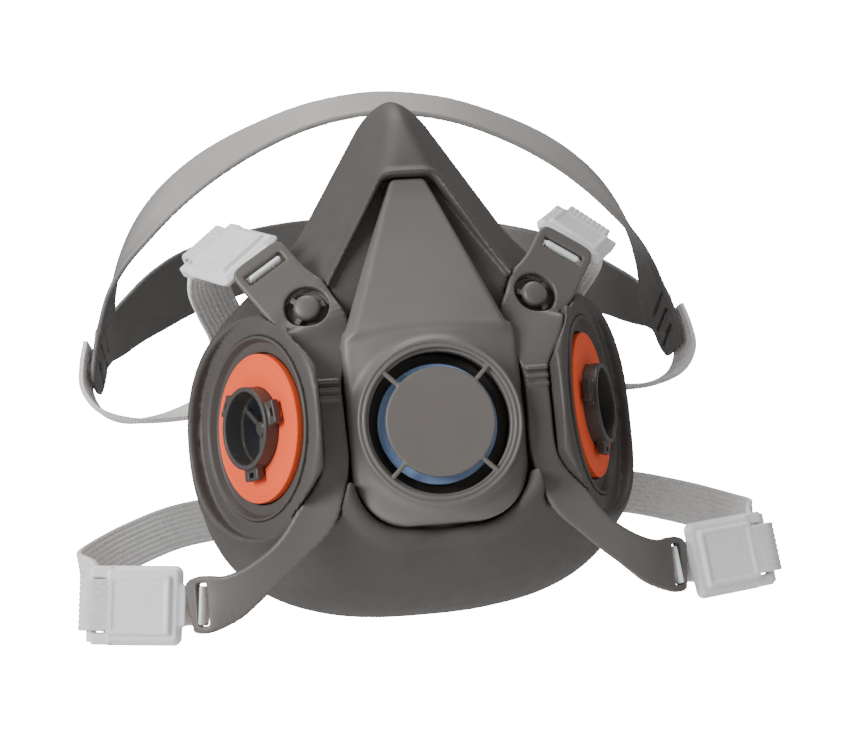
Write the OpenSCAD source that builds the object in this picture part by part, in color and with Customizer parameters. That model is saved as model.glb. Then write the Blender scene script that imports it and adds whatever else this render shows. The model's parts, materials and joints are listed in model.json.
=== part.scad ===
// Half-mask respirator with two side filter ports, a front exhalation valve and a strap harness.
// Shape points are written from the valve: x to the wearer's left, y towards the wearer's face,
// z up, with the middle of the valve grille's front at zero. placed() then moves everything so
// that the origin is on the valve's axis in the mean plane of the face seal.

/* [Facepiece] */
// Half of the facepiece's width at its widest
mask_half_w = 62; // [58:0.5:66]
// Half of the bowl's height
mask_half_h = 51; // [48:0.5:54]
// Depth of the bowl from its widest section to its front
bowl_depth = 44; // [42:0.5:46]
// Wall thickness of the rubber
shell_t = 2.6; // [2.2:0.1:3]
// Distance from the grille's front to the face seal's mean plane
valve_ahead = 62; // [56:0.5:70]
// How far the face seal's edge turns inwards
lip_w = 10; // [7:0.5:12]

/* [Filter ports] */
// Distance of each port's centre from the middle plane
port_x = 46; // [45:0.1:47]
// Angle between each port's axis and straight ahead
port_yaw = 63; // [61:0.5:65]
// Outer diameter of the sealing gasket
gasket_d = 40; // [38:0.5:41]
// Thickness of the sealing gasket
gasket_t = 2; // [1.5:0.1:2.2]
// Outer diameter of the port's collar
collar_d = 22.2; // [21:0.1:22.6]
// Inner diameter of the port's collar
bore_d = 19.5; // [18.5:0.1:20]

/* [Exhalation valve] */
// Outer diameter of the ring round the grille
grille_d = 43.7; // [42:0.1:44]
// Diameter of the disc in the middle of the grille
grille_disc_d = 29; // [26:0.5:30]
// Diameter of the exhalation valve's flap
flap_d = 32; // [30:0.5:33]
// How far the flap can lift
flap_lift = 1.5; // [1:0.1:2]

/* [Harness] */
// Width of the elastic webbing
web_w = 12.7; // [11:0.1:13]
// Thickness of the elastic webbing
web_t = 1.6; // [1.2:0.1:1.8]
// Thickness of the two harness arms
arm_t = 2.4; // [2:0.1:2.6]
// Thickness of the head cradle
cradle_t = 1.8; // [1.4:0.1:2.2]
// Width of each strap buckle
buckle_w = 21; // [19:0.5:22]

/* [Hidden] */
$fn = 64;

gap = 0.3;                      // clearance between neighbouring pieces
rubber = [0.34, 0.33, 0.32];
plastic = [0.42, 0.41, 0.40];
orange = [0.88, 0.38, 0.22];
clear_plastic = [0.92, 0.93, 0.94];
knit = [0.66, 0.65, 0.64];

// ---- small functions --------------------------------------------------------------------
function unit(v) = v / norm(v);
function soft_min(a, b, k) = let (h = max(k - abs(a - b), 0) / k) min(a, b) - h * h * k / 4;
function soft_max(a, b, k) = -soft_min(-a, -b, k);
function plane(p, n, through) = n * (p - through);
// Catmull-Rom interpolation through a list of rows, n steps from each to the next
function row_between(r, i, t) =
    let (last = len(r) - 1, a = r[max(i - 1, 0)], b = r[i], c = r[min(i + 1, last)],
        d = r[min(i + 2, last)])
    0.5 * (2 * b + (c - a) * t + (2 * a - 5 * b + 4 * c - d) * t * t
        + (3 * b - a - 3 * c + d) * t * t * t);
function smooth(r, n) = concat(
    [for (i = [0:len(r) - 2], k = [0:n - 1]) row_between(r, i, k / n)], [r[len(r) - 1]]);
// Euler angles that turn the x, y and z axes onto three perpendicular unit vectors
function euler(x, y, z) = [atan2(y.z, z.z), -asin(x.z), atan2(x.y, x.x)];

module placed() translate([0, -valve_ahead, 0]) children();
module both_sides() { children(); mirror([1, 0, 0]) children(); }
module facing_back(y = 0) translate([0, y, 0]) rotate([-90, 0, 0]) children();
module at_frame(o, x, y, z) translate(o) rotate(euler(x, y, z)) children();

// A flat strip that follows rows of [one edge, other edge]; its front face lies `front` ahead
module strip(rows, t, front = 0) {
    last = len(rows) - 1;
    sections = [for (i = [0:last]) let (
        a = rows[i][0], b = rows[i][1],
        before = rows[max(i - 1, 0)], after = rows[min(i + 1, last)],
        along = (after[0] + after[1] - before[0] - before[1]),
        n = unit(cross(b - a, along)))
        each [a + n * front, b + n * front, b + n * (front - t), a + n * (front - t)]];
    sides = [for (i = [0:last - 1], k = [0:3]) let (p = 4 * i + k, q = 4 * i + (k + 1) % 4)
        each [[p, p + 4, q + 4], [p, q + 4, q]]];
    polyhedron(sections, concat([[0, 1, 2], [0, 2, 3]], sides,
        [[4 * last, 4 * last + 2, 4 * last + 1], [4 * last, 4 * last + 3, 4 * last + 2]]));
}

// ---- port frame: z points out of the port ----------------------------------------------------
port_axis = [sin(port_yaw), -cos(port_yaw), 0];
port_at = [port_x, 21.6, 4.1];
module at_port() translate(port_at) rotate([0, 90, port_yaw - 90])
    children();
pod_r = 29.8;                   // radius of the raised round that carries the port
pod_face = 0.5;                 // the round's face, along the port's axis
gasket_top = 0.2;
flange_top = gasket_top - gasket_t;
flange_t = 1.5;
floor_top = flange_top - flange_t;
groove_r = 23;                  // the groove round the gasket
groove_low = -1.4;
cup_r = gasket_d / 2 + 0.4;
collar_top = 4.3;
collar_low = -10;
spider_top = -1;                // the bore for a filter ends here, on a shoulder
seat_d = bore_d - 1;            // inner diameter below the shoulder

// ---- upper tab frame: u along the slot towards the middle, w towards the free end ---------------
slot_at = [40.75, 16.2, 46.1];
tab_u = unit([-0.837, -0.03, 0.547]);
tab_w = unit([0.5185, 0.266, 0.808] - tab_u * ([0.5185, 0.266, 0.808] * tab_u));
tab_n = cross(tab_w, tab_u);
function tab(u, w) = slot_at + u * tab_u + w * tab_w;
peg_uw = [1.75, -15.65];
slot_half = 1.6;                // half the width of the slot that a buckle hooks into
bar_half = 1.65;                // half the width of the bar between slot and free end

// ---- outline of each harness arm: [outer edge, inner edge], upper end first ----------------------
arm_rows = [
    [tab(-5.3, 5.3), tab(5.3, 5.3)], [tab(-7.5, 4.5), tab(7.5, 4.5)],
    [tab(-8.3, 2.4), tab(8.3, 2.4)], [tab(-8.3, -5), tab(8.4, -5)],
    [tab(-7.9, -10), tab(9, -12)], [tab(-6.6, -15), tab(9.4, -17)],
    [[35.2, 7.9, 25.5], tab(8.4, -20)], [[33, 6.6, 20], [23.9, 9.9, 28.5]],
    [[31.6, 5.9, 15], [24.3, 7.6, 20]], [[31, 5.4, 11], [24.5, 5.7, 12]],
    [[30.9, 4.8, 2], [24.3, 4.9, 2]], [[31, 5, -7], [24.2, 5.1, -8]],
    [[33, 6.5, -14.6], [25.9, 5.5, -14.5]], [[38.1, 7.3, -22.9], [30.5, 6.6, -22.4]],
    [[45.4, 8.8, -29.4], [38.5, 9.6, -32.6]], [[52.8, 10.5, -33.4], [47, 12, -40.3]],
    [[58.9, 13.2, -34.8], [55.5, 14.6, -46.4]], [[64, 17.2, -34], [62.5, 16.3, -48.8]],
    [[67, 19.8, -34.3], [66.8, 19.7, -48.3]], [[68, 20.7, -36.5], [67.9, 20.6, -46.3]]];
function wider(rows, by) = [for (r = rows) let (across = unit(r[1] - r[0]) * by)
    [r[0] - across, r[1] + across]];
valley_w = 31.4;                // the ports' rounds start this far from the middle plane
low_slot_at = [64.4, 17.5, -41.4];
low_tab_along = unit([0.76, 0.65, 0]);
low_tab_n = [low_tab_along.y, -low_tab_along.x, 0];

// ---- outer surface of the facepiece: negative inside, zero on the surface ------------------------
function bowl(p) = let (
    side = pow(p.x / mask_half_w, 2.7) + pow(abs(p.z - 3) / mask_half_h, p.z > 3 ? 2.3 : 2.7),
    f = pow(pow(side, 2.2 / 2.7) + pow(abs(p.y - 50) / bowl_depth, 2.2), 1 / 2.2))
    soft_max((f - 1) * 46, plane(p, [0, -0.5, -0.866], [0, 22, -40.5]), 5);
// The raised round that carries a port, and the free space ahead of its face
function pod(p) = let (
    d = p - port_at, h = d * port_axis, r = norm(d - h * port_axis), edge = 1.5, depth = 30,
    q = [r - pod_r + edge + 0.3 * min(h, 0), abs(h + depth / 2 - pod_face) - depth / 2 + edge],
    round_body = min(max(q.x, q.y), 0) + norm([max(q.x, 0), max(q.y, 0)]) - edge)
    [round_body, max(r - pod_r + 0.6, pod_face - h)];
function nose(q) = let (p = [sqrt(q.x * q.x + 4), q.y, q.z],
    flank = plane(p, [0.711, -0.544, 0.446], [0, 0, 62.6]),
    side = plane(p, [0.803, 0.339, 0.49], [0, 38, 109.2]),
    ridge = plane(p, [0, -0.894, 0.447], [0, 0, 40.7]),
    front = plane(p, [0, -0.962, 0.27], [0, 14.7, 69.7]),
    top = plane(p, [0, -0.124, 0.992], [0, 38, 100]))
    soft_max(soft_max(soft_max(soft_max(flank, side, 7), soft_max(ridge, front, 6), 4),
        top, 11.6), 14 - p.z, 14);
// Pockets that the cover and the arms sit in
function fairing_face(p) = plane(p, [0, -0.963, 0.27], [0, 17, 69.1]);
function fairing_side(p) = plane(p, [0.862, 0, 0.506], [6.4, 0, 69.7]);
function cover_pocket(p) = min(
    max(fairing_side(p) + 0.9, p.x - 24.6, p.z - 69.3, -fairing_face(p) - 4.8),
    max(p.x - 24, abs(p.z + 1) - 26.5, p.y - 12));
function arm_ahead(p, i = 3) = i > 15 ? 99 : let (
    a = (arm_rows[i][0] + arm_rows[i][1]) / 2, b = (arm_rows[i + 1][0] + arm_rows[i + 1][1]) / 2,
    half = norm(arm_rows[i][0] - arm_rows[i][1]) / 2,
    ab = [b.x - a.x, b.z - a.z], ap = [p.x - a.x, p.z - a.z],
    t = min(max(ap * ab / (ab * ab), 0), 1),
    away = norm(ap - t * ab) - half - 0.6,
    deep = p.y - (a.y + t * (b.y - a.y)) - arm_t - 0.8)
    min(max(away, deep), arm_ahead(p, i + 1));
function skin(p) = let (round = pod(p))
    soft_max(soft_min(soft_min(bowl(p), round[0], 9), nose(p), 8), -round[1], 1.5);
// The skin outside, and the hollow inside that also keeps its distance from the pockets
function outer(q) = skin([abs(q.x), q.y, q.z]);
function hollow(q) = let (p = [abs(q.x), q.y, q.z])
    soft_max(soft_max(skin(p) + shell_t, shell_t - cover_pocket(p), 4), shell_t - arm_ahead(p), 4);

// Rays from a flat core inside the mask cut the surface: ahead, fanning out, then sideways
core_y = 38;
core_z = 4;
function core_r(a) = 1 / pow(pow(abs(cos(a)) / 33, 4) + pow(abs(sin(a)) / 26, 4), 1 / 4);
function rim_y(a) = 71 - (sin(a) > 0 ? 23 : 16) * pow(sin(a), 2);
function out(a) = [cos(a), 0, sin(a)];
function base(a, share, y) = [0, y, core_z] + out(a) * core_r(a) * share;
function crossing(o, d, inner, lo = 0, hi = 90, n = 14) = n == 0 ? o + d * (lo + hi) / 2 :
    let (mid = (lo + hi) / 2, p = o + d * mid)
    (inner ? hollow(p) : outer(p)) > 0 ? crossing(o, d, inner, lo, mid, n - 1)
        : crossing(o, d, inner, mid, hi, n - 1);
flat_rings = 8;
fan_rings = 9;
side_rings = 4;
around = 64;
function ray(a, i, y_end) = i <= flat_rings ? [base(a, i / flat_rings, core_y), [0, -1, 0]] :
    i <= flat_rings + fan_rings ? let (f = 90 * (i - flat_rings) / fan_rings)
        [base(a, 1, core_y), out(a) * sin(f) - [0, cos(f), 0]] :
    [base(a, 1, core_y + (y_end - core_y) * (i - flat_rings - fan_rings) / side_rings), out(a)];
function wall_point(a, i, inner, y_end) = let (r = ray(a, i, y_end)) crossing(r[0], r[1], inner);
// The seal's edge, seen in section: [inwards, backwards] from the rim
lip = [[1.2, 1.3], [lip_w * 0.5, 1], [lip_w, -3], [lip_w + 0.2, -4.6], [lip_w * 0.55, -1.8],
    [shell_t + 0.4, -3.2]];

module shell() {
    rings = flat_rings + fan_rings + side_rings;
    turns = [for (k = [0:around - 1]) 360 * k / around];
    outside = [for (i = [1:rings]) [for (a = turns) wall_point(a, i, false, rim_y(a))]];
    edge = [for (e = lip) [for (k = [0:around - 1])
        outside[rings - 1][k] - out(turns[k]) * e[0] + [0, e[1], 0]]];
    inside = [for (i = [rings:-1:1]) [for (a = turns) wall_point(a, i, true, rim_y(a) - 5)]];
    loops = concat(outside, edge, inside);
    n = len(loops);
    points = concat([for (l = loops) each l],
        [for (inner = [false, true]) crossing([0, core_y, core_z], [0, -1, 0], inner)]);
    bands = [for (i = [0:n - 2], k = [0:around - 1]) let (
        p = i * around + k, q = i * around + (k + 1) % around)
        each [[p, q, q + around], [p, q + around, p + around]]];
    caps = [for (k = [0:around - 1]) let (m = (k + 1) % around, s = (n - 1) * around)
        each [[n * around, m, k], [n * around + 1, s + k, s + m]]];
    polyhedron(points, concat(bands, caps));
}

module port_cup() at_port() rotate_extrude() difference() {
    translate([collar_d / 2 + 0.4, floor_top - shell_t])
        square([groove_r + 2 - collar_d / 2 - 0.4, pod_face + shell_t - floor_top]);
    translate([0, floor_top]) square([cup_r, 20]);
    translate([0, groove_low]) square([groove_r, 20]);
}

module facepiece() color(rubber) placed() resize([0, 0, 0]) difference() {
    union() {
        difference() {
            shell();
            both_sides() at_port() translate([0, 0, floor_top - 1.8])
                cylinder(h = 18, r = groove_r + 1.6);
        }
        both_sides() port_cup();
    }
    facing_back(5) cylinder(h = 20, r = seat_r + gap / 2);
    both_sides() at_tab_peg() translate([0, 0, -12]) cylinder(h = 12, r = peg_base_r + 0.05);
    both_sides() strip(smooth(wider(arm_rows, 0.5), 2), arm_t + 22.4, 22);
    cover_block(gap);
    translate([-valley_w, -20, -12.5]) cube([2 * valley_w, 29, 27]);
}

// ---- exhalation valve ----------------------------------------------------------------------------
seat_y = 6.4;                   // the seat's front edge, which the flap rests on
seat_r = 15.4;
stem_r = 1.6;
module valve_seat() color(plastic) placed() {
    facing_back() {
        rotate_extrude($fn = 40) {
            translate([flap_d / 2 - 2.6, seat_y]) square([1.4, 11.2]);
            translate([flap_d / 2 - 1.4, 8.6]) square([seat_r - flap_d / 2 + 1.4, 8.2]);
            for (y = [10.4, 15]) translate([seat_r - 0.2, y]) square([4, 1.3]);
            translate([stem_r + 0.15, 8]) square([2, 4]);
        }
        for (a = [45:90:315]) rotate(a) translate([stem_r + 1.2, -0.9, 8.6])
            cube([flap_d / 2 - stem_r - 3.4, 1.8, 2]);
    }
}
module exhalation_valve() color([0.66, 0.74, 0.86]) placed() facing_back() rotate_extrude() {
    translate([0, seat_y - 0.75]) square([flap_d / 2, 0.7]);
    translate([0, seat_y - 0.75]) square([stem_r, 9]);
    translate([0, seat_y + 7.2]) square([stem_r + 1.1, 1.2]);
}

// ---- front cover: housing with the grille, and the fairing above it -------------------------------
housing_w = 47;
dome_r = 60;
housing_low = -26;
housing_top = 26;
fairing_low = [[20.8, 4.4, 24.2], [23.4, 9.2, 25.5], [23.4, 12.2, 25.5], [14, 6, 20.9],
    [14, 11, 20.9]];
fairing_top = [[4.6, 17, 69.1], [5.8, 19, 69.2], [5.8, 21.2, 69.2], [0, 21.2, 69.2]];
fairing_mid = [[21, 10.6, 33], [22.4, 11.8, 38.5], [22.4, 13, 38.5]];
module housing_outline(grow) {
    rounded_square([housing_w + 2 * grow, housing_top - housing_low + 2 * grow], 15, [0, 0]);
    rounded_square([housing_w + 2 * grow, housing_top + grow], 7, [0, -(housing_top + grow) / 2]);
}
module rounded_square(size, r, at) translate(at) {
    square([size.x, size.y - 2 * r], center = true);
    square([size.x - 2 * r, size.y], center = true);
    for (sx = [-1, 1], sy = [-1, 1])
        translate([sx * (size.x / 2 - r), sy * (size.y / 2 - r)]) circle(r);
}
module fairing(grow) hull() for (s = [-1, 1], p = concat(fairing_low, fairing_top, fairing_mid))
    translate([s * (p.x + grow), p.y, p.z]) sphere(0.2 + grow, $fn = 8);
module cover_block(grow) {
    fairing(grow);
    facing_back(-6) linear_extrude(17.7 + grow) housing_outline(grow);
}
module front_cover() color(plastic) placed() difference() {
    union() {
        intersection() {
            facing_back(0.5) linear_extrude(11.1) housing_outline(0);
            translate([0, dome_r + 0.8, 0]) sphere(dome_r, $fn = 96);
        }
        facing_back() cylinder(h = 6, d = grille_d);
        fairing(0);
    }
    difference() {
        facing_back(-1) cylinder(h = 16, r = 19.6);
        facing_back() {
            cylinder(h = 1.4, d = grille_disc_d);
            for (a = [45:90:315]) rotate(a) translate([0, -0.65, 0]) cube([20, 1.3, 1.6]);
        }
    }
    facing_back(2.2) cylinder(h = 16, r = 20.6);
}

// ---- harness arms and their pegs --------------------------------------------------------------------
peg_base_r = 5.6;
hole_r = 6;
module at_tab_peg() at_frame(tab(peg_uw.x, peg_uw.y), tab_u, -tab_w, tab_n) children();
module at_tab_slot() at_frame(slot_at + 0.4 * tab_w, tab_u, -tab_w, tab_n) children();
module yoke_arm() difference() {
    strip(smooth(arm_rows, 3), arm_t);
    at_tab_peg() translate([0, 0, -6]) cylinder(h = 12, r = hole_r);
    at_tab_slot() cube([12, 2 * slot_half, 12], center = true);
    at_frame(low_slot_at, low_tab_along, [0, 0, 1], low_tab_n)
        cube([2 * slot_half, 11.2, 12], center = true);
}
module arm_peg() at_tab_peg() {
    translate([0, 0, -6.6]) cylinder(h = 3.6, r = peg_base_r);
    translate([0, 0, -3.2]) cylinder(h = 2.2, r = 2.6);
    translate([0, 0, -1.4]) cylinder(h = 1.6, r = 3.6);
    intersection() {
        translate([0, 0, -5]) sphere(6.4);
        translate([0, 0, 0]) cylinder(h = 3, r = 3.6);
    }
    for (a = [20, 160, 250]) rotate(a) translate([3, -0.8, -2.2]) cube([2, 1.6, 1.2]);
}
module yoke_arm_left() color(plastic) placed() yoke_arm();
module yoke_arm_right() color(plastic) placed() mirror([1, 0, 0]) yoke_arm();
module arm_peg_left() color(plastic) placed() arm_peg();
module arm_peg_right() color(plastic) placed() mirror([1, 0, 0]) arm_peg();

// ---- filter ports --------------------------------------------------------------------------------------
pin_r = 1.4;                    // pin that carries the inhalation valve
module port() at_port() {
    rotate_extrude() {
        translate([bore_d / 2, spider_top]) square([(collar_d - bore_d) / 2, collar_top - spider_top]);
        translate([seat_d / 2, collar_low])
            square([(collar_d - seat_d) / 2, spider_top - collar_low]);
        translate([collar_d / 2 - 0.5, flange_top - flange_t])
            square([gasket_d / 2 - collar_d / 2 - 0.5, flange_t - 0.02]);
        translate([collar_d / 2 - 0.5, floor_top - shell_t - 1.7]) square([3.8, 1.65]);
    }
    for (a = [0, 125, 258]) rotate(a) translate([collar_d / 2 - 0.6, -3.2, collar_top - 3.4])
        difference() {
            cube([3.2, 6.4, 2.2]);
            translate([1, 2, -1]) cube([1.4, 2.4, 5]);
        }
    for (a = [10, 130, 250]) rotate(a) translate([0, -0.7, spider_top - 1.6])
        cube([seat_d / 2 + 0.4, 1.4, 1.6]);
    translate([0, 0, collar_low - 3.6]) cylinder(h = spider_top - collar_low + 3.6, r = pin_r);
    translate([0, 0, collar_low - 4.6]) cylinder(h = 1.2, r = pin_r + 1.1);
}
land_r = 14.2;                  // the gasket's raised sealing land starts here
module port_gasket() at_port() rotate_extrude() {
    translate([collar_d / 2 + 0.15, flange_top])
        square([(gasket_d - collar_d) / 2 - 0.15, gasket_t - 0.3]);
    translate([land_r, flange_top])
        square([gasket_d / 2 - land_r, gasket_t]);
}
module inhalation_valve() at_port() rotate_extrude()
    translate([pin_r + 0.3, collar_low - 0.85]) square([seat_d / 2 + 1.1 - pin_r, 0.7]);
module port_left() color(rubber) placed() port();
module port_right() color(rubber) placed() mirror([1, 0, 0]) port();
module port_gasket_left() color(orange) placed() port_gasket();
module port_gasket_right() color(orange) placed() mirror([1, 0, 0]) port_gasket();
module inhalation_valve_left() color("khaki") placed() inhalation_valve();
module inhalation_valve_right() color("khaki") placed() mirror([1, 0, 0]) inhalation_valve();

// ---- buckles: x along the bar they hook on, y to the strap end, z to the front -------------------------
hook_in = 2.6;
hook_t = 1.3;
hook_w = 10.2;
plate_len = 20.8;
buckle_len = 27.4;              // from the hooked bar to the strap bar
up_x = -tab_u;
up_way = [0.283, 0.838, 0.466];
up_y = unit(up_way - tab_u * (up_way * tab_u));
up_z = cross(up_x, up_y);
up_at = slot_at + (0.4 + slot_half + bar_half) * tab_w - tab_n * arm_t / 2;
low_y = unit([0.97, 0.22, 0.1]);
low_x = unit([0.1, 0, -1] - low_y * (low_y * [0.1, 0, -1]));
low_z = cross(low_x, low_y);
low_at = low_slot_at + (slot_half + bar_half) * low_tab_along - low_tab_n * arm_t / 2;
module buckle(tip, skew) {
    // hook that wraps the bar from behind, a ring sector ending `tip` degrees round
    translate([-hook_w / 2, 0, 0]) rotate([90, 0, 90]) linear_extrude(hook_w) intersection() {
        difference() {
            circle(hook_in + hook_t);
            circle(hook_in);
        }
        polygon([[0, 0], for (k = [0:4]) 9 * [cos(k * tip / 4), -sin(k * tip / 4)]]);
    }
    translate([-hook_w / 2, hook_in + 0.1, -2.2]) cube([hook_w, 2.2, 2.2]);
    rotate([0, 0, -skew]) {
        translate([0, 3.2, -2.4]) linear_extrude(3.8) plate();
        translate([-8, 5.6, 1]) cube([16, 17, 1.2]);
        for (s = [-1, 1]) translate([s * (buckle_w / 2 - 1.9) - 1.6, 22, -2.4])
            cube([3.2, buckle_len - 22, 3.2]);
        translate([-buckle_w / 2 + 1, buckle_len, -0.9]) rotate([0, 90, 0])
            cylinder(h = buckle_w - 2, r = 1.3);
    }
}
module plate() translate([0, plate_len / 2]) rounded_square([buckle_w, plate_len], 2, [0, 0]);
module buckle_upper() at_frame(up_at, up_x, up_y, up_z) buckle(165, 12);
module buckle_lower() at_frame(low_at, low_x, low_y, low_z) buckle(238, 0);
module buckle_upper_left() color(clear_plastic) placed() buckle_upper();
module buckle_upper_right() color(clear_plastic) placed() mirror([1, 0, 0]) buckle_upper();
module buckle_lower_left() color(clear_plastic) placed() buckle_lower();
module buckle_lower_right() color(clear_plastic) placed() mirror([1, 0, 0]) buckle_lower();

// ---- straps: rows of [middle, direction across] ----------------------------------------------------------
function up_pt(x, y, z) = up_at + x * up_x + y * up_y + z * up_z;
function low_pt(x, y, z) = low_at + x * low_x + y * low_y + z * low_z;
head_route = [
    [up_pt(4.6, 22, -4.4), up_x], [up_pt(5.6, 28.5, -6), up_x],
    [[54.5, 50, 50.5], [0.8, 0.05, -0.6]], [[52, 60, 45.5], [0.8, 0, -0.6]],
    [[48.5, 68.5, 39], [0.8, -0.1, -0.6]], [[47, 77, 30.5], [0.85, -0.1, -0.5]],
    [[50, 82, 22.5], [0.8, 0.3, 0]], [[58, 82, 18.5], [0.45, 0.75, 0.3]],
    [[68, 79, 16], [0.25, 0.9, 0.2]], [[78, 75.5, 15.5], [0.1, 0.97, 0.1]],
    [[86, 74, 18.5], [-0.1, 0.98, 0.05]], [[89.8, 73.8, 24.5], [-0.2, 0.97, 0]],
    [[89.6, 74.8, 31], [-0.24, 0.97, 0]], [[88.2, 76, 37.5], [-0.25, 0.96, 0.05]]];
neck_route = [
    [low_pt(0, 22, -4.4), -low_x], [low_pt(0, 26.5, -5.2), -low_x],
    [[94.3, 36, -33], [-0.05, 0.2, 0.97]], [[94.5, 45, -30], [0, 0.25, 0.97]],
    [[89.5, 56, -26], [0.1, 0.25, 0.96]], [[80, 66.5, -21], [0.15, 0.2, 0.96]],
    [[66, 77, -16], [0.1, 0.1, 0.99]], [[48, 87, -13.5], [0, 0.05, 1]],
    [[32, 93, -13], [0, 0, 1]], [[19, 96.5, -13], [0, 0, 1]]];
function edges(route) = [for (r = smooth(route, 3)) let (across = unit(r[1]) * web_w / 2)
    [r[0] - across, r[0] + across]];
module head_strap() strip(edges(head_route), web_t, web_t / 2);
module neck_strap() strip(edges(neck_route), web_t, web_t / 2);
module head_strap_left() color(knit) placed() head_strap();
module head_strap_right() color(knit) placed() mirror([1, 0, 0]) head_strap();
module neck_strap_left() color(knit) placed() neck_strap();
module neck_strap_right() color(knit) placed() mirror([1, 0, 0]) neck_strap();

// ---- head cradle: a crown band and a rear band that join in a slotted end at each side -------------------
crown_rows = [
    [[0, 52, 97.5], [0, 62, 106.5]], [[18, 53, 95.3], [20, 62, 104]],
    [[34, 54.5, 89.8], [37.5, 64.5, 98.6]], [[49, 57, 82], [52.5, 68, 92]],
    [[61, 61, 73.8], [64.5, 71.5, 83.4]], [[70.5, 64.7, 65.5], [72.5, 75.5, 74]],
    [[77.5, 68.5, 58.8], [77.8, 79, 63.5]], [[82, 70.8, 52], [80.3, 82, 54]],
    [[84.8, 71, 44], [81.2, 84, 44.5]], [[86.6, 69.8, 37], [83.2, 84, 37]],
    [[88, 69.5, 29.5], [84.8, 82.5, 29.5]], [[88.6, 70.5, 25.2], [86.2, 80, 25.6]]];
rear_rows = [
    [[84.9, 73.5, 41], [86.5, 73, 31]], [[81.6, 84.5, 45.5], [82.6, 84, 35.5]],
    [[75.6, 94.5, 53.5], [77.4, 94, 41]], [[66, 107, 63.5], [69, 107, 48]],
    [[53, 119.5, 73.5], [56, 120.5, 56]], [[36, 130, 81], [38, 131.5, 62.5]],
    [[18, 136.5, 85.5], [19, 138, 67]], [[0, 138.5, 86.5], [0, 140, 68]]];
function flipped(p) = [-p.x, p.y, p.z];
// Rows that run from the middle to the left end, made to run from one end to the other
function end_to_end(rows, middle) = middle == 0 ?
    concat([for (i = [len(rows) - 1:-1:1]) [flipped(rows[i][0]), flipped(rows[i][1])]], rows) :
    concat(rows, [for (i = [middle - 1:-1:0]) [flipped(rows[i][0]), flipped(rows[i][1])]]);
module cradle() color(plastic) placed() resize([0, 0, 0]) difference() {
    union() {
        strip(smooth(end_to_end(crown_rows, 0), 3), cradle_t, cradle_t / 2);
        strip(smooth(end_to_end(rear_rows, len(rear_rows) - 1), 3), cradle_t - 0.1,
            cradle_t / 2 - 0.05);
    }
    both_sides() for (z = [30.5, 35.3, 40.1]) translate([86, 76, z]) rotate([-35, 0, 14.5])
        cube([10, 9.6, 1.2], center = true);
}

// ---- clasp behind the neck --------------------------------------------------------------------------------
clasp_y = 96.5;
clasp_z = -13;
module clasp_plate(x0, x1) translate([x0, clasp_y - 1.5, clasp_z - 8.5]) cube([x1 - x0, 3, 17]);
module neck_clasp_hook() color(clear_plastic) placed() {
    clasp_plate(7.5, 18.8);
    translate([-4.5, clasp_y + 2, clasp_z - 4]) cube([14, 1.8, 8]);
    translate([7.5, clasp_y + 1, clasp_z - 4]) cube([4, 2.8, 8]);
    translate([-4.5, clasp_y - 1.5, clasp_z - 4]) cube([2, 4, 8]);
}
module neck_clasp_loop() color(clear_plastic) placed() difference() {
    clasp_plate(-18.8, 5.5);
    translate([-5.8, clasp_y - 5, clasp_z - 5.5]) cube([7.4, 10, 11]);
}

facepiece();
valve_seat();
exhalation_valve();
front_cover();
yoke_arm_left();
yoke_arm_right();
arm_peg_left();
arm_peg_right();
port_left();
port_right();
port_gasket_left();
port_gasket_right();
inhalation_valve_left();
inhalation_valve_right();
buckle_upper_left();
buckle_upper_right();
buckle_lower_left();
buckle_lower_right();
head_strap_left();
head_strap_right();
neck_strap_left();
neck_strap_right();
cradle();
neck_clasp_hook();
neck_clasp_loop();
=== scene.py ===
"""Half-mask respirator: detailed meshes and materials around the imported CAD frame.

Shapes are written in millimetres from the exhalation valve: x to the wearer's left, y towards the
wearer's face, z up, with the middle of the grille's front at zero. to_row() turns them into the
frame's metres. Moulded pieces are signed distance functions, meshed by solid(). Turned pieces are
profiles spun by turned(), and webbing is a ribbed section swept along its route by swept(). Every
paired piece is made once, on the wearer's left, and mirrored by piece() for the right.
"""
import json
import math

import bpy
import numpy as np
import openvdb
from mathutils import Matrix, Vector


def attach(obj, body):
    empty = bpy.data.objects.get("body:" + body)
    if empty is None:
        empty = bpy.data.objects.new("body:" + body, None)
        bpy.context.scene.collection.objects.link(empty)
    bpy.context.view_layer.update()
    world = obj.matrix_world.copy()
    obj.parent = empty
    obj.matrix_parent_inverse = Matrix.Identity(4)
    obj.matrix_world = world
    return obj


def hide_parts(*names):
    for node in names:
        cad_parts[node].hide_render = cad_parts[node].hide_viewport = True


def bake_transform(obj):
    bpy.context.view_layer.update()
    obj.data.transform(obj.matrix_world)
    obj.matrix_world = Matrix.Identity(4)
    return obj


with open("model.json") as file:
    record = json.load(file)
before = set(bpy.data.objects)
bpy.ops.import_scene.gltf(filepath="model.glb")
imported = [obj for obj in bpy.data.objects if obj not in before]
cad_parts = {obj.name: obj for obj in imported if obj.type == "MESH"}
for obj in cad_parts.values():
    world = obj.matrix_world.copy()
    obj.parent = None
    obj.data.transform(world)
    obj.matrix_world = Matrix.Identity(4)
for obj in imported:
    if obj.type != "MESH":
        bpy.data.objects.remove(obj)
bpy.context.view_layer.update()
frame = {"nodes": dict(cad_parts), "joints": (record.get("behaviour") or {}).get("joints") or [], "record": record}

VALVE_AHEAD = 62.0  # how far the valve lies ahead of the frame's origin
SHELL_T = 2.6  # thickness of the rubber
SIDES = (("left", 1), ("right", -1))
mounts = {m["name"]: m for m in frame["record"]["mounts"]}
joints = {j["name"]: j for j in frame["joints"]}


# ---- small tools ----------------------------------------------------------------------------
def unit(v):
    v = np.asarray(v, float)
    return v / np.linalg.norm(v)


def to_row(points):
    return (np.asarray(points, float) - (0, VALVE_AHEAD, 0)) / 1000


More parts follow.
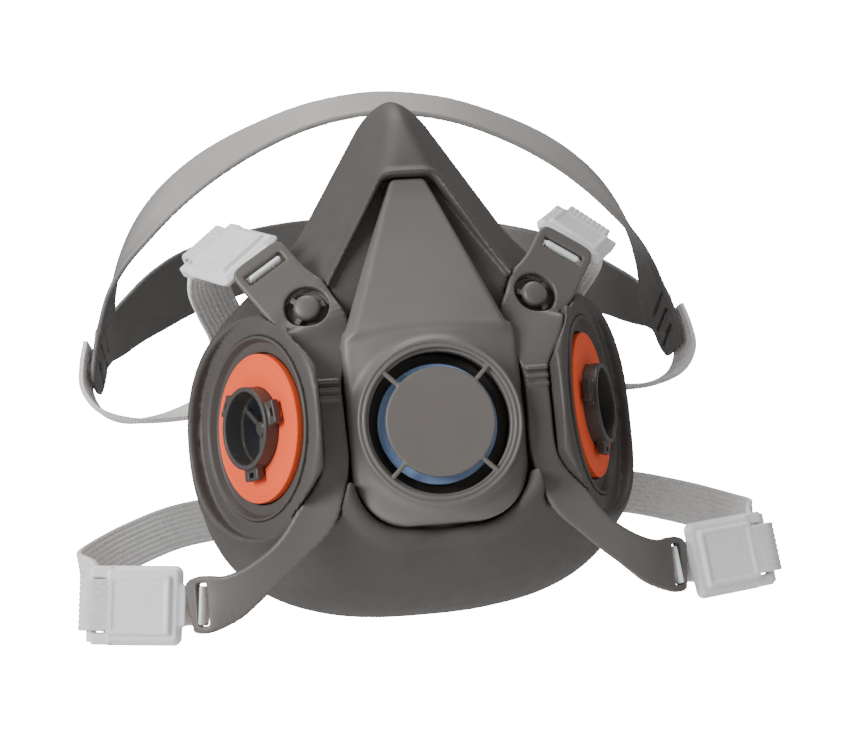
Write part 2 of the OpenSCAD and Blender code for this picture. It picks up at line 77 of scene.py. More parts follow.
def from_row(point):
    return np.array(point) * 1000 + (0, VALVE_AHEAD, 0)


def soft_min(a, b, k):
    h = np.maximum(k - np.abs(a - b), 0) / k
    return np.minimum(a, b) - h * h * k / 4


def soft_max(a, b, k):
    return -soft_min(-a, -b, k)


def plane(p, normal, through):
    return (p - through) @ np.asarray(normal, float)


def folded(p):
    """The same points on the wearer's left of the middle plane."""
    return np.abs(p[:, :1]) * (1, 0, 0) + p * (0, 1, 1)


def capsule(p, a, b, r):
    a, b = np.asarray(a, float), np.asarray(b, float)
    t = np.clip((p - a) @ (b - a) / ((b - a) @ (b - a)), 0, 1)
    return np.linalg.norm(p - a - t[:, None] * (b - a), axis=1) - r


def block(q, half, r):
    """A box with rounded edges, in its own frame."""
    d = np.abs(q) - (np.asarray(half, float) - r)
    return np.linalg.norm(np.maximum(d, 0), axis=1) + np.minimum(d.max(1), 0) - r


def disc(radial, axial, r, half, edge):
    """A round plate with rounded edges, from the distance to its axis and along it."""
    a, b = radial - r + edge, np.abs(axial) - half + edge
    return np.hypot(np.maximum(a, 0), np.maximum(b, 0)) + np.minimum(np.maximum(a, b), 0) - edge


class Axes:
    """A frame of three perpendicular directions at a point."""

    def __init__(self, at, x, y, z):
        self.at = np.asarray(at, float)
        self.turn = np.stack([unit(x), unit(y), unit(z)])

    def local(self, p):
        return (p - self.at) @ self.turn.T

    def point(self, x, y, z):
        return self.at + np.array([x, y, z]) @ self.turn

    def points(self, q):
        return self.at + np.asarray(q, float) @ self.turn


# ---- mesh builders --------------------------------------------------------------------------
BLOCK = 4  # grid points along the side of one block that solid() fills at once
LOOKUP = 200000  # points that Ribbon.local() matches with its steps at once


def gradient(f, p, eps=0.02):
    steps = np.eye(3) * eps
    return np.stack([f(p + s) - f(p - s) for s in steps], 1) / (2 * eps)


def solid(f, low, high, step, mirrored=False):
    """Points and quads of the surface f = 0 in a box. mirrored: the box is the half from x = 0."""
    low, high = np.asarray(low, float), np.asarray(high, float)
    blocks = np.ceil((high - low) / (step * BLOCK)).astype(int)
    cells = np.stack(np.meshgrid(*[np.arange(b) for b in blocks], indexing="ij"), -1).reshape(-1, 3)
    rough = f(low + (cells * BLOCK + (BLOCK - 1) / 2) * step)
    far = 3 * step
    values = np.clip(rough, -far, far).reshape(blocks)
    for axis in range(3):
        values = np.repeat(values, BLOCK, axis)
    near = cells[np.abs(rough) < BLOCK * step * 1.5]
    inner = np.stack(np.meshgrid(*[np.arange(BLOCK)] * 3, indexing="ij"), -1).reshape(1, -1, 3)
    places = (near[:, None] * BLOCK + inner).reshape(-1, 3)
    values[tuple(places.T)] = np.clip(f(low + places * step), -far, far)
    corner = low.copy()
    if mirrored:
        corner[0] = -(values.shape[0] - 1) * step
        values = np.concatenate([values[:0:-1], values])
    grid = openvdb.FloatGrid(far)
    grid.copyFromArray(values.astype(np.float32))
    points, quads = grid.convertToQuads(0.0)
    points = corner + np.asarray(points, float) * step
    for _ in range(3):
        slope = gradient(f, points)
        size = np.maximum((slope * slope).sum(1), 0.05)
        move = slope * (f(points) / size)[:, None]
        length = np.linalg.norm(move, axis=1, keepdims=True)
        points = points - move * np.minimum(1, 0.6 * step / np.maximum(length, 1e-9))
    quads = np.asarray(quads, int)
    a, b, c = (points[quads[:, i]] for i in range(3))
    facing = (np.cross(b - a, c - a) * gradient(f, a)).sum()
    return points, (quads if facing > 0 else quads[:, ::-1])


def turned(profile, at, axis, turns=128):
    """A closed ring of [radius, height] corners, in order, spun round an axis."""
    axis = unit(axis)
    x = unit(np.cross(axis, (0, 0, 1)))
    y = np.cross(axis, x)
    angle = np.arange(turns) * 2 * math.pi / turns
    around = np.cos(angle)[:, None] * x + np.sin(angle)[:, None] * y
    loops = [at + axis * h + around * r for r, h in profile]
    points, n = np.concatenate(loops), len(profile)
    k = np.arange(turns)
    m = (k + 1) % turns
    quads = [np.stack([i * turns + k, (i + 1) % n * turns + k, (i + 1) % n * turns + m,
                       i * turns + m], 1) for i in range(n)]
    return points, np.concatenate(quads)


def eased(profile, radii, steps=4):
    """The closed profile with each corner rounded to its radius."""
    p, out = np.asarray(profile, float), []
    for i, corner in enumerate(p):
        r = radii[i] if hasattr(radii, "__len__") else radii
        before, after = p[i - 1] - corner, p[(i + 1) % len(p)] - corner
        r = min(r, np.linalg.norm(before) / 2.2, np.linalg.norm(after) / 2.2)
        a, b = corner + unit(before) * r, corner + unit(after) * r
        ts = np.linspace(0, 1, steps + 1) if r > 0 else [0.5]
        out += [(1 - t) ** 2 * a + 2 * t * (1 - t) * corner + t * t * b for t in ts]
    return np.array(out)


def smooth(rows, n):
    """Catmull-Rom rows through the given ones, n steps from each to the next."""
    r = np.asarray(rows, float)
    last, out = len(r) - 1, []
    for i in range(last):
        a, b, c, d = r[max(i - 1, 0)], r[i], r[i + 1], r[min(i + 2, last)]
        for t in np.arange(n) / n:
            out.append(0.5 * (2 * b + (c - a) * t + (2 * a - 5 * b + 4 * c - d) * t * t
                              + (3 * b - a - 3 * c + d) * t ** 3))
    return np.array(out + [r[last]])


class Ribbon:
    """A bent strip, from rows of [one edge, other edge]. Its front face carries the rows."""

    def __init__(self, rows, steps=5):
        r = smooth(rows, steps)
        self.middle = r.mean(1)
        self.half = np.linalg.norm(r[:, 1] - r[:, 0], axis=1) / 2
        self.across = (r[:, 1] - r[:, 0]) / (2 * self.half[:, None])
        along = np.gradient(self.middle, axis=0)
        front = np.cross(self.across, along)
        self.front = front / np.linalg.norm(front, axis=1, keepdims=True)

    def local(self, p):
        """Distance across, half width there, height over the front, and distance past the end."""
        a, b = self.middle[:-1], self.middle[1:]
        centre = (a + b) / 2
        nearest = np.empty(len(p), int)
        for s in range(0, len(p), LOOKUP):
            q = p[s:s + LOOKUP]
            nearest[s:s + LOOKUP] = ((centre ** 2).sum(1) - 2 * q @ centre.T).argmin(1)
        ab = (b - a)[nearest]
        t = ((p - a[nearest]) * ab).sum(1) / (ab * ab).sum(1)
        step = np.linalg.norm(ab, axis=1)
        past_last = np.where(nearest == len(a) - 1, (t - 1) * step, -99)
        past = np.where(nearest == 0, -t * step, past_last)
        t = np.clip(t, 0, 1)[:, None]
        d = p - (a[nearest] + ab * t)
        across = self.across[nearest] * (1 - t) + self.across[nearest + 1] * t
        front = self.front[nearest] * (1 - t) + self.front[nearest + 1] * t
        half = self.half[nearest] * (1 - t[:, 0]) + self.half[nearest + 1] * t[:, 0]
        return (d * across).sum(1), half, (d * front).sum(1), past


def strip_solid(ribbon, p, thick, edge, front=0.0, grow=0.0):
    across, half, height, past = ribbon.local(p)
    side = np.abs(across) - half - grow
    flat = np.abs(height - front + thick / 2) - thick / 2
    return soft_max(soft_max(flat, side, edge), past - grow, edge)


def swept(route, section, step):
    """A closed section of [across, outwards] points along rows of [middle, across direction]."""
    rows = smooth(route, 12)
    middle = rows[:, 0]
    run = np.concatenate([[0], np.cumsum(np.linalg.norm(np.diff(middle, axis=0), axis=1))])
    count = max(int(run[-1] / step), 8)
    at = np.linspace(0, run[-1], count + 1)
    middle = np.stack([np.interp(at, run, middle[:, i]) for i in range(3)], 1)
    across = np.stack([np.interp(at, run, rows[:, 1, i]) for i in range(3)], 1)
    along = np.gradient(middle, axis=0)
    along /= np.linalg.norm(along, axis=1, keepdims=True)
    across -= along * (across * along).sum(1, keepdims=True)
    across /= np.linalg.norm(across, axis=1, keepdims=True)
    outward = np.cross(across, along)
    section = np.asarray(section, float)
    n = len(section)
    points = (middle[:, None] + across[:, None] * section[None, :, :1]
              + outward[:, None] * section[None, :, 1:]).reshape(-1, 3)
    i, k = np.meshgrid(np.arange(count), np.arange(n), indexing="ij")
    a, b = i * n + k, i * n + (k + 1) % n
    quads = np.stack([a, b, b + n, a + n], -1).reshape(-1, 4)
    ends = [list(range(n))[::-1], list(range(count * n, count * n + n))]
    uv = np.stack([np.repeat(at, n), np.tile(section[:, 0], count + 1)], 1)
    return points, [list(q) for q in quads] + ends, uv


TURNED_FLAT, WEB_FLAT = 50, 60  # edges sharper than this many degrees stay sharp


# ---- pieces ---------------------------------------------------------------------------------
def piece(name, made, material, body, nodes=(), side=1, flat_over=None):
    """A mesh object from points in millimetres, riding on a body in place of CAD nodes."""
    points, faces = made[0], made[1]
    points = to_row(points) * (side, 1, 1)
    mesh = bpy.data.meshes.new(name)
    faces = [list(map(int, f)) for f in faces]
    if side < 0:
        faces = [f[::-1] for f in faces]
    mesh.from_pydata(points.tolist(), [], faces)
    mesh.polygons.foreach_set("use_smooth", [True] * len(faces))
    if flat_over is not None:
        mesh.set_sharp_from_angle(angle=math.radians(flat_over))
    if len(made) > 2:
        layer = mesh.uv_layers.new(name="weave")
        which = np.zeros(len(mesh.loops), int)
        mesh.loops.foreach_get("vertex_index", which)
        layer.data.foreach_set("uv", (made[2][which] / 1000).ravel())
    obj = bpy.data.objects.new(name, mesh)
    bpy.context.scene.collection.objects.link(obj)
    mesh.materials.append(material)
    if body:
        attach(obj, body)
    if nodes:
        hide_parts(*nodes)
    return obj


# ---- materials ------------------------------------------------------------------------------
class Look:
    """A Principled material with grain: constants on the shader, procedural colour and bump."""

    def __init__(self, name, color, rough, **constants):
        self.material = bpy.data.materials.new(name)
        self.material.use_nodes = True
        self.nodes, self.links = self.material.node_tree.nodes, self.material.node_tree.links
        self.shader = self.nodes["Principled BSDF"]
        self.color, self.rough = color, rough
        for key, value in constants.items():
            self.shader.inputs[key.replace("_", " ")].default_value = value
        self.space = self.nodes.new("ShaderNodeTexCoord").outputs["Object"]
        self.height = None

    def noise(self, scale, detail=2, rough=0.5):
        n = self.nodes.new("ShaderNodeTexNoise")
        n.inputs["Scale"].default_value = scale
        n.inputs["Detail"].default_value = detail
        n.inputs["Roughness"].default_value = rough
        self.links.new(self.space, n.inputs["Vector"])
        return n.outputs["Fac"]

    def ramp(self, value, low, high, a=0.3, b=0.7):
        n = self.nodes.new("ShaderNodeMapRange")
        for key, v in (("From Min", a), ("From Max", b), ("To Min", low), ("To Max", high)):
            n.inputs[key].default_value = v
        self.links.new(value, n.inputs["Value"])
        return n.outputs["Result"]

    def math(self, kind, a, b):
        n = self.nodes.new("ShaderNodeMath")
        n.operation = kind
        for socket, v in zip(n.inputs, (a, b)):
            if isinstance(v, (int, float)):
                socket.default_value = v
            else:
                self.links.new(v, socket)
        return n.outputs[0]

    def tint(self, value, dark, light):
        """Colour between two multiples of the base colour."""
        n = self.nodes.new("ShaderNodeMix")
        n.data_type = "RGBA"
        for socket, k in ((n.inputs[6], dark), (n.inputs[7], light)):
            socket.default_value = (*[c * k for c in self.color], 1)
        self.links.new(value, n.inputs[0])
        self.links.new(n.outputs[2], self.shader.inputs["Base Color"])

    def bump(self, value, depth, strength=1.0):
        n = self.nodes.new("ShaderNodeBump")
        n.inputs["Distance"].default_value = depth
        n.inputs["Strength"].default_value = strength
        self.links.new(value, n.inputs["Height"])
        if self.height:
            self.links.new(self.height, n.inputs["Normal"])
        self.height = n.outputs["Normal"]
        self.links.new(self.height, self.shader.inputs["Normal"])

    def vary_rough(self, value, spread):
        r = self.ramp(value, self.rough - spread, self.rough + spread)
        self.links.new(r, self.shader.inputs["Roughness"])


def moulded_look(name, color, rough, grain, depth, spread=0.06, shade=0.06, **constants):
    """Moulded rubber or plastic: cloudy colour, fine grain, and uneven gloss."""
    look = Look(name, color, rough, **constants)
    cloud = look.noise(38, 4, 0.6)
    look.tint(look.ramp(cloud, 0, 1), 1 - shade, 1 + shade)
    look.vary_rough(look.noise(160, 3, 0.6), spread)
    look.bump(look.noise(grain, 2, 0.6), depth, 0.6)
    look.bump(look.noise(55, 2), 0.00012, 0.35)
    return look.material


RUBBER = moulded_look("rubber_satin", (0.075, 0.0685, 0.0635), 0.52, 2600, 0.00003, shade=0.05,
                      Specular_IOR_Level=0.45)
PLASTIC = moulded_look("cover_plastic", (0.150, 0.137, 0.127), 0.46, 3200, 0.00002, shade=0.04,
                       Specular_IOR_Level=0.45)
ARM_PLASTIC = moulded_look("arm_plastic", (0.115, 0.106, 0.098), 0.44, 3200, 0.00002, shade=0.05)
DARK_PLASTIC = moulded_look("port_plastic_dark", (0.060, 0.054, 0.050), 0.42, 3000, 0.00002)


def cradle_painted_shade_look():
    """Satin plastic with painted shade: darker towards the slotted ends and the rear band."""
    look = Look("cradle_plastic", (0.36, 0.345, 0.33), 0.45)
    split = look.nodes.new("ShaderNodeSeparateXYZ")
    look.links.new(look.space, split.inputs["Vector"])
    # painted shade: the colour darkens towards the rear band and towards the low, slotted ends
    back = look.ramp(split.outputs["Y"], 0, 1, 0.004, 0.018)
    low = look.ramp(split.outputs["Z"], 1, 0, 0.05, 0.075)
    cloud = look.math("MULTIPLY", look.noise(38, 4, 0.6), 0.12)
    # the painted shade of the rear band and the slotted ends, plus a little real mottle
    dark = look.math("MAXIMUM", look.math("MULTIPLY", back, 0.9), low)
    look.tint(look.math("ADD", dark, cloud), 1, 0.3)
    look.vary_rough(look.noise(160, 3, 0.6), 0.06)
    look.bump(look.noise(2800, 2, 0.6), 0.00003, 0.6)
    return look.material


CRADLE = cradle_painted_shade_look()
GASKET = moulded_look("gasket_silicone", (0.98, 0.118, 0.036), 0.62, 2400, 0.00003, shade=0.05,
                      Specular_IOR_Level=0.3)
VALVE = moulded_look("valve_silicone", (0.25, 0.37, 0.62), 0.35, 2200, 0.00002, shade=0.04,
                     Subsurface_Weight=0.1, Subsurface_Scale=0.002)
CLEAR = moulded_look("buckle_translucent", (0.985, 0.99, 0.995), 0.26, 2600, 0.00002, spread=0.08,
                     shade=0.02, Transmission_Weight=0.12, IOR=1.45, Subsurface_Weight=0.3,
                     Subsurface_Scale=0.004)


LOOP_PITCH, WALE_PITCH = 0.0009, 0.0007  # one loop of the knit along the webbing and across, in m


def webbing_look():
    """Ribbed elastic: rubber-cored ribs lengthways under a fine knit."""
    look = Look("webbing_knit", (0.84, 0.825, 0.81), 0.85, Sheen_Weight=0.25, Sheen_Roughness=0.5)
    uv = look.nodes.new("ShaderNodeUVMap")
    uv.uv_map = "weave"
    split = look.nodes.new("ShaderNodeSeparateXYZ")
    look.links.new(uv.outputs["UV"], split.inputs["Vector"])
    along, across = split.outputs["X"], split.outputs["Y"]
    loops = look.math("SINE", look.math("MULTIPLY", along, 2 * math.pi / LOOP_PITCH), 0)
    wales = look.math("SINE", look.math("MULTIPLY", across, 2 * math.pi / WALE_PITCH), 0)
    knit = look.math("MULTIPLY", loops, wales)
    look.tint(look.ramp(look.math("ADD", look.math("MULTIPLY", knit, 0.22), look.noise(900, 3)),
                        0, 1, 0.2, 0.8), 0.84, 1.1)
    look.bump(knit, 0.00011, 0.7)
    look.vary_rough(look.noise(500, 2), 0.05)
    return look.material


WEBBING = webbing_look()


# ---- camera, stage and light ----------------------------------------------------------------
def make_camera():
    """Camera to the wearer's right and a little low, looking up slightly and tilted."""
    yaw, pitch, roll = math.radians(9.6), math.radians(8), math.radians(-3.93)
    cy, sy, cp, sp = math.cos(yaw), math.sin(yaw), math.cos(pitch), math.sin(pitch)
    ahead = Vector((sy, cy * cp, cy * sp))
    level, lift = Vector((cy, -sy * cp, -sy * sp)), Vector((0, -sp, cp))
    right = math.cos(roll) * level + math.sin(roll) * lift
    up = -math.sin(roll) * level + math.cos(roll) * lift
    data = bpy.data.cameras.new("camera")
    data.lens, data.sensor_width = 85.43, 36
    camera = bpy.data.objects.new("camera", data)
    bpy.context.scene.collection.objects.link(camera)
    turn = Matrix((right, up, -ahead)).transposed().to_4x4()
    camera.matrix_world = Matrix.Translation((-0.09053, -0.58081, -0.06074)) @ turn
    bpy.context.scene.camera = camera


STAGE_R, STAGE_Z = 2.6, -0.42  # in metres


def make_stage():
    """A round paper floor, well below the mask."""
    look = Look("stage_paper", (0.92, 0.92, 0.92), 0.9)
    look.tint(look.ramp(look.noise(3, 2), 0, 1), 0.99, 1.0)
    turns = 96
    angle = np.arange(turns) * 2 * math.pi / turns
    points = [(STAGE_R * math.cos(a), STAGE_R * math.sin(a), STAGE_Z) for a in angle]
    mesh = bpy.data.meshes.new("stage_floor")
    mesh.from_pydata(points, [], [list(range(turns))])
    mesh.materials.append(look.material)
    floor = bpy.data.objects.new("stage_floor", mesh)
    bpy.context.scene.collection.objects.link(floor)


def make_light():
    """Soft light from the wearer's right, a weak one from the left and one from above."""
    world = bpy.data.worlds.new("studio")
    world.use_nodes = True
    nodes, links = world.node_tree.nodes, world.node_tree.links
    background = nodes["Background"]
    background.inputs["Color"].default_value = (1, 1, 1, 1)
    background.inputs["Strength"].default_value = 0.3
    seen = nodes.new("ShaderNodeBackground")
    seen.inputs["Color"].default_value = (1, 1, 1, 1)
    seen.inputs["Strength"].default_value = 20
    mix, path = nodes.new("ShaderNodeMixShader"), nodes.new("ShaderNodeLightPath")
    links.new(path.outputs["Is Camera Ray"], mix.inputs[0])
    links.new(background.outputs[0], mix.inputs[1])
    links.new(seen.outputs[0], mix.inputs[2])
    links.new(mix.outputs[0], nodes["World Output"].inputs["Surface"])
    bpy.context.scene.world = world
    # name, place, aim, width, height, power in watts
    for name, place, aim, width, height, power in (
            ("key_light", (-0.92, -0.66, 0.32), (-0.02, 0, -0.01), 0.5, 0.5, 15),
            ("side_light", (0.95, -0.3, 0.25), (0.03, 0, 0), 0.3, 0.8, 1.0),
            ("top_light", (0.0, 0.0, 1.0), (0, 0, 0), 0.7, 0.5, 6)):
        data = bpy.data.lights.new(name, "AREA")
        data.shape, data.size, data.size_y, data.energy = "RECTANGLE", width, height, power
        lamp = bpy.data.objects.new(name, data)
        lamp.location = place
        lamp.rotation_euler = (Vector(aim) - Vector(place)).to_track_quat("-Z", "Y").to_euler()
        bpy.context.scene.collection.objects.link(lamp)


make_camera()
make_stage()
make_light()

# ---- places shared with the CAD frame -------------------------------------------------------
port_mount = mounts["filter_port_left"]
PORT_AXIS = unit(port_mount["axis"])
COLLAR_TOP = 4.3  # this height and the ones below run along a port's axis from PORT_AT
PORT_AT = from_row(port_mount["pos_m"]) - COLLAR_TOP * PORT_AXIS
PORT_DOWN = unit(np.array([0, 0, -1]) + PORT_AXIS * PORT_AXIS[2])
PORT = Axes(PORT_AT, -PORT_DOWN, np.cross(PORT_AXIS, -PORT_DOWN), PORT_AXIS)
POD_R, POD_FACE, RING_R = 29.8, 0.5, 24.8
GROOVE_R, GROOVE_LOW = 23.0, -1.4
CUP_R, FLOOR_TOP, FLANGE_TOP, GASKET_TOP, COLLAR_LOW = 20.4, -3.3, -1.8, 0.2, -10
PEG_R, PEG_HOLE_R, SEAT_R = 5.6, 5.3, 15.55  # a peg's base, its hole, and the valve seat's hole

SLOT_AT = np.array([40.75, 16.2, 46.1])
TAB_U = unit((-0.837, -0.03, 0.547))
TAB_W = np.array([0.5185, 0.266, 0.808])
TAB_W = unit(TAB_W - TAB_U * (TAB_W @ TAB_U))
TAB_N = np.cross(TAB_W, TAB_U)
ARM_T = 2.4  # thickness of an arm


def tab(u, w):
    """A point in the plane of an arm's upper tab, from the middle of its slot."""
    return SLOT_AT + u * TAB_U + w * TAB_W


PEG = Axes(tab(1.75, -15.65), TAB_U, -TAB_W, TAB_N)
TAB_SLOT = Axes(tab(0, 0.4), TAB_U, -TAB_W, TAB_N)
LOW_ALONG = unit((0.76, 0.65, 0))
LOW_SLOT = Axes((64.4, 17.5, -41.4), LOW_ALONG, (0, 0, 1), (LOW_ALONG[1], -LOW_ALONG[0], 0))
# Outline of an arm: [outer edge, inner edge], from its upper end to its lower end
ARM_ROWS = [
    [tab(-5.3, 5.3), tab(5.3, 5.3)], [tab(-7.5, 4.5), tab(7.5, 4.5)],
    [tab(-8.3, 2.4), tab(8.3, 2.4)], [tab(-8.3, -5), tab(8.4, -5)],
    [tab(-7.9, -10), tab(9, -12)], [tab(-6.6, -15), tab(9.4, -17)],
    [(35.2, 7.9, 25.5), tab(8.4, -20)], [(33, 6.6, 20), (23.9, 9.9, 28.5)],
    [(31.6, 5.9, 15), (24.3, 7.6, 20)], [(31, 5.4, 11), (24.5, 5.7, 12)],
    [(30.9, 4.8, 2), (24.3, 4.9, 2)], [(31, 5, -7), (24.2, 5.1, -8)],
    [(33, 6.5, -14.6), (25.9, 5.5, -14.5)], [(38.1, 7.3, -22.9), (30.5, 6.6, -22.4)],
    [(45.4, 8.8, -29.4), (38.5, 9.6, -32.6)], [(52.8, 10.5, -33.4), (47, 12, -40.3)],
    [(58.9, 13.2, -34.8), (55.5, 14.6, -46.4)], [(64, 17.2, -34), (62.5, 16.3, -48.8)],
    [(67, 19.8, -34.3), (66.8, 19.7, -48.3)], [(68, 20.7, -36.5), (67.9, 20.6, -46.3)]]
ARM = Ribbon(ARM_ROWS)


# ---- facepiece ------------------------------------------------------------------------------
def bowl(p):
    """The rounded cup over the mouth and chin, cut flat under the chin."""
    x, y, z = p.T
    side = (x / 62) ** 2.7 + (np.abs(z - 3) / 51) ** np.where(z > 3, 2.3, 2.7)
    f = (side ** (2.2 / 2.7) + (np.abs(y - 50) / 44) ** 2.2) ** (1 / 2.2)
    return soft_max((f - 1) * 46, plane(p, (0, -0.5, -0.866), (0, 22, -40.5)), 4)


def pod_parts(p):
    """The raised round that carries a port, and the free space ahead of its face."""
    q = PORT.local(p)
    h, r = q[:, 2], np.hypot(q[:, 0], q[:, 1])
    body = disc(r + 0.3 * np.minimum(h, 0), h + 15 - POD_FACE, POD_R, 15, 1.5)
    return body, np.maximum(r - POD_R + 0.6, POD_FACE - h)


def nose(p):
    """The peaked nose: a flank and a side on each half, a ridge, a front and a rounded top."""
    p = np.stack([np.sqrt(p[:, 0] ** 2 + 4), p[:, 1], p[:, 2]], 1)
    flank = plane(p, (0.711, -0.544, 0.446), (0, 0, 62.6))
    side = plane(p, (0.803, 0.339, 0.49), (0, 38, 109.2))
    ridge = plane(p, (0, -0.894, 0.447), (0, 0, 40.7))
    front = plane(p, (0, -0.962, 0.27), (0, 14.7, 69.7))
    top = plane(p, (0, -0.124, 0.992), (0, 38, 100))
    f = soft_max(soft_max(flank, side, 7), soft_max(ridge, front, 3), 2.5)
    return soft_max(soft_max(f, top, 11.6), 14 - p[:, 2], 14)


def housing_edge(x, z):
    """How far outside the housing's outline a point lies, seen from the front."""
    r = np.where(z < 0, 15.0, 7.0)
    out = np.stack([np.abs(x) - 23.5 + r, np.abs(z) - 26 + r], 1)
    return np.linalg.norm(np.maximum(out, 0), axis=1) + np.minimum(out.max(1), 0) - r


def fairing_edge(p):
    """How far outside the fairing's outline a point lies, seen from the front."""
    return soft_max(plane(p, (0.862, 0, 0.506), (6.4, 0, 69.7)), p[:, 2] - 69.3, 2)


def cover_pocket(p):
    """The space in the rubber that the front cover fills."""
    face = plane(p, (0, -0.963, 0.27), (0, 17, 69.1))
    fairing = np.maximum.reduce([fairing_edge(p) - 0.4, p[:, 0] - 24.6, -face - 4.8])
    housing = np.maximum(housing_edge(p[:, 0], p[:, 2]) - 0.5, p[:, 1] - 12)
    return np.minimum(fairing, housing)


def skin(p):
    """The rubber's outer face, before anything is cut into it."""
    round_body, ahead = pod_parts(p)
    return soft_max(soft_min(soft_min(bowl(p), round_body, 9), nose(p), 8), -ahead, 1.5)


def rim_y(p):
    """How far back the edge of the face seal lies, by its angle round the mask."""
    a = np.arctan2(p[:, 2] - 4, p[:, 0])
    return 71 - np.where(np.sin(a) > 0, 23, 16) * np.sin(a) ** 2


def facepiece_shape(q):
    p = folded(q)
    surface = skin(p)
    pocket = cover_pocket(p)
    across, half, height, past = ARM.local(p)
    arm_bed = np.maximum.reduce([np.abs(across) - half - 0.15, -(height + ARM_T + 0.6), past - 0.6])
    # a soft bead round the fairing, and a ledge under the housing
    bead = soft_max(np.hypot(fairing_edge(p) - 1.5, surface + 0.1) - 0.95, 37 - p[:, 2], 2)
    ledge = np.hypot(housing_edge(p[:, 0], p[:, 2]) - 3.0, surface + 0.3) - 1.7
    ledge = soft_max(ledge, p[:, 2] + 13, 2)
    outside = soft_min(soft_min(surface, bead, 1.0), ledge, 2.5)
    # free space between the cover and the arms
    valley = np.maximum.reduce([p[:, 0] - 31.6, np.abs(p[:, 2] - 1) - 13.5, p[:, 1] - 9])
    gap = np.maximum.reduce([p[:, 0] - 26, np.abs(p[:, 2] - 12) - 26, p[:, 1] - 13])
    outside = soft_max(outside, -pocket, 1.0)
    outside = soft_max(outside, -np.minimum(np.minimum(arm_bed, valley), gap), 0.6)
    inside = soft_max(soft_max(surface + SHELL_T, SHELL_T - pocket, 4), SHELL_T - arm_bed, 4)
    back = rim_y(p)
    wall = soft_max(soft_max(outside, -inside, 0.8), p[:, 1] - back, 1.6)
    # face seal: a thin lip that turns inwards and rolls towards the face
    depth = -surface
    lip_y = back + 0.6 - 0.045 * depth ** 2
    lip = soft_max(np.abs(p[:, 1] - lip_y) - 0.9, np.maximum(depth - 11, surface), 1.2)
    body = soft_min(wall, lip, 2.0)
    # openings for the ports, the valve seat and the pegs: [from axis, along axis, radius, depth]
    port, peg = PORT.local(p), PEG.local(p)
    from_port, from_peg = np.hypot(port[:, 0], port[:, 1]), np.hypot(peg[:, 0], peg[:, 1])
    from_valve = np.hypot(p[:, 0], p[:, 2])
    for radial, axial, radius, depth in ((from_port, port[:, 2], RING_R, 1.6),
                                         (from_port, port[:, 2], 22.4, 3.6),
                                         (from_port, port[:, 2], 15.5, 11),
                                         (from_valve, -p[:, 1], SEAT_R, 30),
                                         (from_peg, peg[:, 2], PEG_HOLE_R, 12)):
        hole = np.maximum(radial - radius, -depth - axial)
        body = soft_max(body, -hole, 0.6)
    return body


facepiece_made = solid(facepiece_shape, (0, -12, -56), (66, 76, 104), 0.8, mirrored=True)
piece("facepiece_shell", facepiece_made, RUBBER, "root", ["facepiece"])

# the pod's rim, the groove inside it and the cup that the gasket sits in, with their floor
ring_profile = eased(
    [(23.4, -4.4), (RING_R, -3.2), (RING_R, POD_FACE), (24.45, 0.8), (24.0, 0.7),
     (GROOVE_R + 0.1, GROOVE_LOW), (CUP_R, GROOVE_LOW), (CUP_R, FLOOR_TOP), (11.4, FLOOR_TOP),
     (11.4, -5.8), (19.5, -5.8)],
    [0, 0, 0.2, 0.25, 0.3, 0.5, 0.25, 0.2, 0, 0, 0])
ring_made = turned(ring_profile, PORT_AT, PORT_AXIS, 160)
for side_name, sign in SIDES:
    piece(f"port_ring_{side_name}", ring_made, RUBBER, "root", ["facepiece"],
          sign, TURNED_FLAT)


# ---- front cover ----------------------------------------------------------------------------
def cover_shape(q):
    p = folded(q)
    x, y, z = p.T
    # housing: a gently domed plate with round corners, turned back at its edge
    dome = 0.6 + 0.0085 * x ** 2 + 0.0022 * z ** 2 - y
    housing = soft_max(soft_max(housing_edge(x, z), dome, 2.2), y - 11.6, 0.6)
    # fairing: a raised face that swells a little, with a bevel on each side
    swell = 2.6 * np.maximum(1 - (x / 21) ** 2, 0) * np.clip((62 - z) / 36, 0, 1) ** 2
    face = (17 - 0.28 * (69.1 - z) - swell - y) * 0.963
    a, b, c = np.array([4.6, 17, 69.1]), np.array([20.8, 4.4, 24.2]), np.array([22.6, 9.4, 25.5])
    bevel = plane(p, unit(np.cross(c - b, a - b)), b)
    edge = plane(p, unit((0.928, 0, 0.374)), (22.6, 0, 25.5))
    under = plane(p, (0, -0.6, -0.8), (0, 4.9, 24.6))
    fairing = soft_max(soft_max(face, bevel, 0.8), soft_max(edge, z - 69.2, 1.2), 1.0)
    # the fairing is a shell behind its flat face, and a skirt closes it towards the rubber
    flat_face = plane(p, (0, -0.963, 0.27), (0, 17, 69.1))
    fairing = soft_max(soft_max(fairing, -flat_face - 5.2, 1), under, 1.2)
    skirt = block(p - (0, 9.05, 17), (22.6, 2.55, 9), 0.8)
    body = soft_min(soft_min(housing, skirt, 2), fairing, 1.6)
    # a round collar for the grille: its opening, a thin step in its face, and a wider bore behind
    radial = np.hypot(x, z)
    collar = disc(radial, y - 4, 21.85, 4, 0.45)
    body = soft_min(body, collar, 3.0)
    body = soft_max(body, -np.maximum(radial - 19.6, y - 30), 0.4)
    step = np.maximum(np.abs(radial - 20.75) - 0.25, y - 0.25)
    body = soft_max(body, -step, 0.3)
    return soft_max(body, -np.maximum(radial - 20.8, 2.2 - y), 0.4)


cover_made = solid(cover_shape, (0, -2, -28), (26, 24, 72), 0.42, mirrored=True)
piece("front_cover_shell", cover_made, PLASTIC, "root", ["front_cover"])


